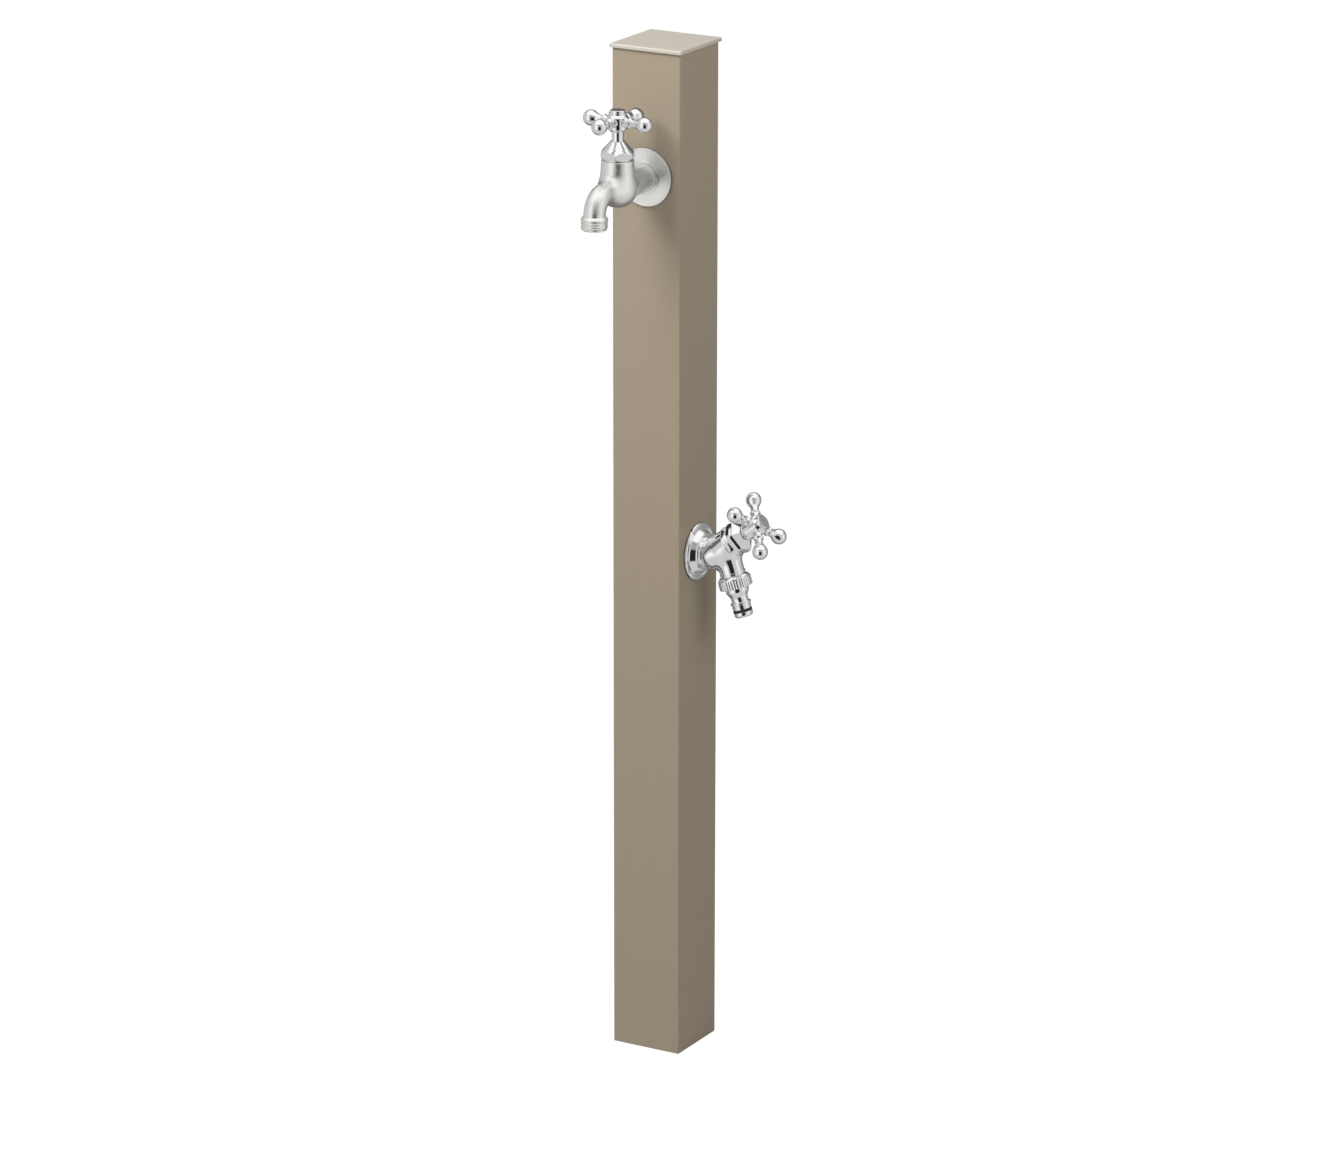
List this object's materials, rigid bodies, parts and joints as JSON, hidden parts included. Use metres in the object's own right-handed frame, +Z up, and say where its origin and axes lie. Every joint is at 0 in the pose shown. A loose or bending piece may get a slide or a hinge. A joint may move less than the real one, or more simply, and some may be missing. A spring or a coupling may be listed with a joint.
{
  "type": "garden standpipe",
  "caption": "Square aluminium garden standpipe with a cap, a satin bucket tap on its front and a chrome hose tap with a quick-release nipple on its side.",
  "frame": {"origin": "centre of the inlet socket's mouth, on the post's axis at the level of its foot", "axes": "+Z up along the post, -Y out of the front face with the bucket tap, +X out of the right face with the hose tap"},
  "size_m": [0.1323, 0.1505, 0.82],
  "materials": {
    "post_aluminium": "greige anodised, vertical hairline",
    "cap_aluminium": "satin greige coat",
    "satin_chrome": "satin pear-skin plating on a casting",
    "chrome": "bright chrome plating",
    "cast_bronze": "cast, as machined",
    "brass": "turned",
    "screw_steel": "plain stainless",
    "rubber": "black moulded",
    "pipe_plastic": "slate impact pipe",
    "moulded_plastic": "black moulded"
  },
  "bodies": {
    "standpipe": {"post": "post_aluminium", "top_cap": "cap_aluminium", "foot_plug": "moulded_plastic", "inlet_socket": "pipe_plastic", "pipe_spacers": "moulded_plastic", "riser_lower": "pipe_plastic", "riser_upper": "pipe_plastic", "tap_tee": "cast_bronze", "tee_screws": "screw_steel", "tap_elbow": "cast_bronze", "elbow_screws": "screw_steel", "upper_gasket": "rubber", "upper_flange": "satin_chrome", "upper_body": "satin_chrome", "upper_bonnet": "chrome", "upper_packing": "rubber", "upper_packing_washer": "brass", "lower_gasket": "rubber", "lower_flange": "chrome", "lower_body": "chrome", "lower_bonnet": "chrome", "lower_packing": "rubber", "lower_packing_washer": "brass", "hose_nut": "chrome", "nipple_seal": "rubber", "hose_nipple": "chrome", "nipple_oring": "rubber"},
    "front_valve": {"upper_jumper": "brass", "upper_valve_washer": "rubber"},
    "front_handle": {"upper_spindle": "chrome", "upper_handle": "chrome", "upper_handle_screw": "screw_steel", "upper_handle_button": "chrome"},
    "side_valve": {"lower_jumper": "brass", "lower_valve_washer": "rubber"},
    "side_handle": {"lower_spindle": "chrome", "lower_handle": "chrome", "lower_handle_screw": "screw_steel", "lower_handle_button": "chrome"}
  },
  "joints": [
    {"name": "front_lift", "type": "slide", "parent": "standpipe", "child": "front_valve", "axis": [0, 0, 1], "range_m": [0, 0.0045]},
    {"name": "front_turn", "type": "hinge", "parent": "front_valve", "child": "front_handle", "pos_m": [0, -0.073, 0.7405], "axis": [0, 0, 1], "range_deg": [0, 720]},
    {"name": "side_lift", "type": "slide", "parent": "standpipe", "child": "side_valve", "axis": [0.8039, 0, 0.5948], "range_m": [0, 0.0045]},
    {"name": "side_turn", "type": "hinge", "parent": "side_valve", "child": "side_handle", "pos_m": [0.06044, 0, 0.42651], "axis": [0.8039, 0, 0.5948], "range_deg": [0, 720]}
  ],
  "couplings": [
    {"joint": "front_lift", "follows": "front_turn", "m_per_rad": 0.0003581},
    {"joint": "side_lift", "follows": "side_turn", "m_per_rad": 0.0003581}
  ]
}
